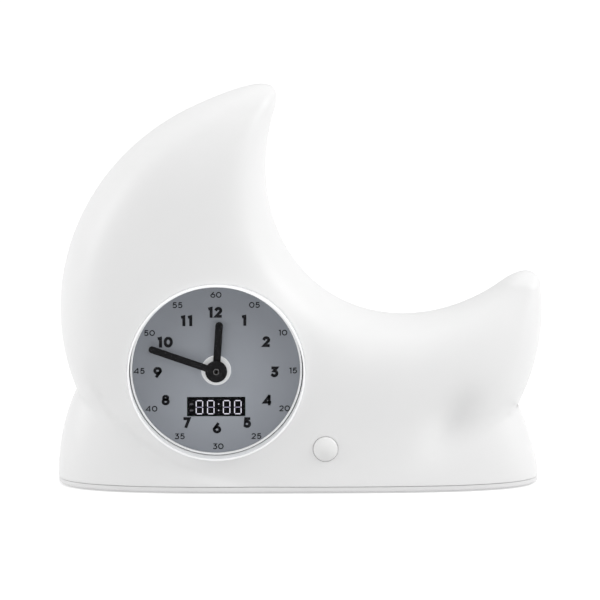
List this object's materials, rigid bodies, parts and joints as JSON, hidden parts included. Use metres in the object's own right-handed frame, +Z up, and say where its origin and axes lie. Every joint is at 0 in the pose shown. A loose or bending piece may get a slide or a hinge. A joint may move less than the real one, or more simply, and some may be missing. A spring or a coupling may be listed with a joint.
{
  "type": "alarm clock with night light",
  "caption": "Crescent-moon alarm clock on a pedestal, with an analogue dial, a small digital display, a front button, rear controls and a night light inside the white shell.",
  "frame": {"origin": "on the ground, under the middle of the clock", "axes": "+Z up, -Y out of the dial, +X to the right seen from the front"},
  "size_m": [0.2228, 0.0792, 0.1834],
  "materials": {
    "shell_white": "satin, slightly translucent",
    "base_white": "satin",
    "key_white": "semi-gloss",
    "foot_rubber": "matte",
    "steel": "plated",
    "cell_sleeve": "gloss",
    "dial_grey": "satin print",
    "clear_plastic": "clear, polished",
    "hand_black": "semi-gloss",
    "arbor_brass": "turned",
    "gear_ivory": "moulded",
    "movement_grey": "moulded",
    "coil_copper": "enamelled copper",
    "display_black": "smoked",
    "board_green": "solder mask",
    "board_white": "white solder mask",
    "led_yellow": "phosphor",
    "speaker_grey": "matte"
  },
  "bodies": {
    "case": {"front_shell": "shell_white", "rear_shell": "shell_white", "base_plate": "base_white", "rubber_feet": "foot_rubber", "battery_box": "base_white", "batteries": "cell_sleeve", "battery_contacts": "steel", "dial": "dial_grey", "lens": "clear_plastic", "dial_nut": "key_white", "movement_case": "movement_grey", "movement_back": "movement_grey", "movement_coil": "coil_copper", "knob_cup": "base_white", "display_module": "display_black", "display_board": "board_green", "button_switch": "movement_grey", "main_board": "board_green", "led_board_left": "board_white", "led_board_right": "board_white", "leds": "led_yellow", "speaker": "speaker_grey", "control_panel": "base_white", "switch_body": "steel", "key_switches": "movement_grey", "control_board": "board_green", "power_inlet": "steel", "case_screws": "steel", "base_screws": "steel", "board_screws": "steel"},
    "minute": {"minute_arbor": "arbor_brass", "minute_hand": "hand_black", "hand_cap": "steel"},
    "hour": {"hour_wheel": "gear_ivory", "hour_hand": "hand_black"},
    "setting": {"minute_wheel": "gear_ivory", "knob_stem": "gear_ivory", "set_knob": "key_white"},
    "front_button": {"front_button": "key_white"},
    "light_key": {"light_key": "key_white"},
    "hour_key": {"hour_key": "key_white"},
    "minute_key": {"minute_key": "key_white"},
    "alarm_switch": {"alarm_switch": "movement_grey"},
    "door": {"battery_door": "base_white", "door_screw": "steel"}
  },
  "joints": [
    {"name": "minute_hand_turn", "type": "hinge", "parent": "case", "child": "minute", "pos_m": [-0.0387, -0.0304, 0.056], "axis": [0, 1, 0], "continuous": true},
    {"name": "hour_hand_turn", "type": "hinge", "parent": "case", "child": "hour", "pos_m": [-0.0387, -0.0304, 0.056], "axis": [0, 1, 0], "continuous": true},
    {"name": "set_knob_turn", "type": "hinge", "parent": "case", "child": "setting", "pos_m": [-0.0387, 0.036, 0.0656], "axis": [0, 1, 0], "continuous": true},
    {"name": "front_button_press", "type": "slide", "parent": "case", "child": "front_button", "axis": [0, 1, 0], "range_m": [0, 0.0012], "stiffness_N_per_m": 1200, "springref_m": -0.0004},
    {"name": "light_key_press", "type": "slide", "parent": "case", "child": "light_key", "axis": [0, -1, 0], "range_m": [0, 0.0009], "stiffness_N_per_m": 1200, "springref_m": -0.0004},
    {"name": "hour_key_press", "type": "slide", "parent": "case", "child": "hour_key", "axis": [0, -1, 0], "range_m": [0, 0.0009], "stiffness_N_per_m": 1200, "springref_m": -0.0004},
    {"name": "minute_key_press", "type": "slide", "parent": "case", "child": "minute_key", "axis": [0, -1, 0], "range_m": [0, 0.0009], "stiffness_N_per_m": 1200, "springref_m": -0.0004},
    {"name": "alarm_switch_slide", "type": "slide", "parent": "case", "child": "alarm_switch", "axis": [1, 0, 0], "range_m": [0, 0.004]},
    {"name": "battery_door_swing", "type": "hinge", "parent": "case", "child": "door", "pos_m": [-0.03, 0.023, 0.0019], "axis": [1, 0, 0], "range_deg": [0, 80]}
  ],
  "couplings": [
    {"joint": "hour_hand_turn", "follows": "minute_hand_turn", "ratio": 0.083333},
    {"joint": "set_knob_turn", "follows": "minute_hand_turn", "ratio": -0.33333}
  ]
}
